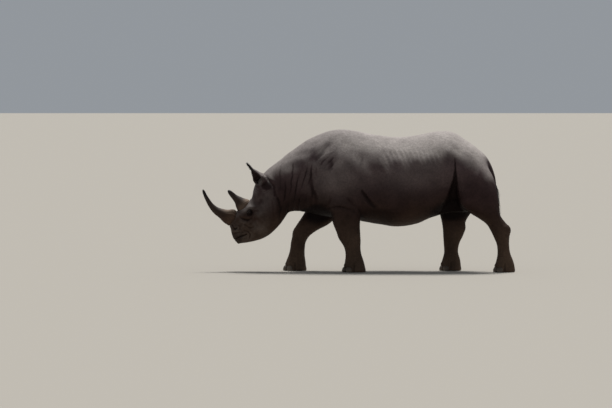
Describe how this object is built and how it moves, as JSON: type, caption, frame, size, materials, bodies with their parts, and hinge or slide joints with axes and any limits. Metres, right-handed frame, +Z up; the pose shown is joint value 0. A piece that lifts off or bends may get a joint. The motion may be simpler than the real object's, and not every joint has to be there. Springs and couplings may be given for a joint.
{
  "type": "black rhinoceros model",
  "caption": "Life-size black rhinoceros walking with its head lowered, with two horns, a pointed upper lip, upright ears and bare folded hide.",
  "frame": {"origin": "centre of the bounding box at floor level, under the soles", "axes": "-X towards the nose, +X towards the tail, -Y to the animal's left, +Z up"},
  "size_m": [3.3484, 0.7588, 1.5269],
  "materials": {
    "ear_left_hide": "dry, dusty, finely cracked bare hide",
    "ear_right_hide": "dry, dusty, finely cracked bare hide",
    "eye_gloss": "wet and glossy",
    "head_hide": "dry, dusty, finely cracked bare hide",
    "horn_keratin": "fibrous keratin, dull at the base and polished towards the tip",
    "leg_front_left_hide": "dry, dusty, finely cracked bare hide",
    "leg_front_right_hide": "dry, dusty, finely cracked bare hide",
    "leg_hind_left_hide": "dry, dusty, finely cracked bare hide",
    "leg_hind_right_hide": "dry, dusty, finely cracked bare hide",
    "neck_hide": "dry, dusty, finely cracked bare hide",
    "tail_hide": "dry, dusty, finely cracked bare hide",
    "toenail_horn": "dull keratin",
    "trunk_hide": "dry, dusty, finely cracked bare hide"
  },
  "bodies": {
    "root": {"ear_left": "ear_left_hide", "ear_right": "ear_right_hide", "eye_left": "eye_gloss", "eye_right": "eye_gloss", "head": "head_hide", "horn_front": "horn_keratin", "horn_rear": "horn_keratin", "leg_front_left": "leg_front_left_hide", "leg_front_right": "leg_front_right_hide", "leg_hind_left": "leg_hind_left_hide", "leg_hind_right": "leg_hind_right_hide", "neck": "neck_hide", "tail": "tail_hide", "toenail_front_left_inner": "toenail_horn", "toenail_front_left_middle": "toenail_horn", "toenail_front_left_outer": "toenail_horn", "toenail_front_right_inner": "toenail_horn", "toenail_front_right_middle": "toenail_horn", "toenail_front_right_outer": "toenail_horn", "toenail_hind_left_inner": "toenail_horn", "toenail_hind_left_middle": "toenail_horn", "toenail_hind_left_outer": "toenail_horn", "toenail_hind_right_inner": "toenail_horn", "toenail_hind_right_middle": "toenail_horn", "toenail_hind_right_outer": "toenail_horn", "trunk": "trunk_hide"}
  },
  "joints": []
}
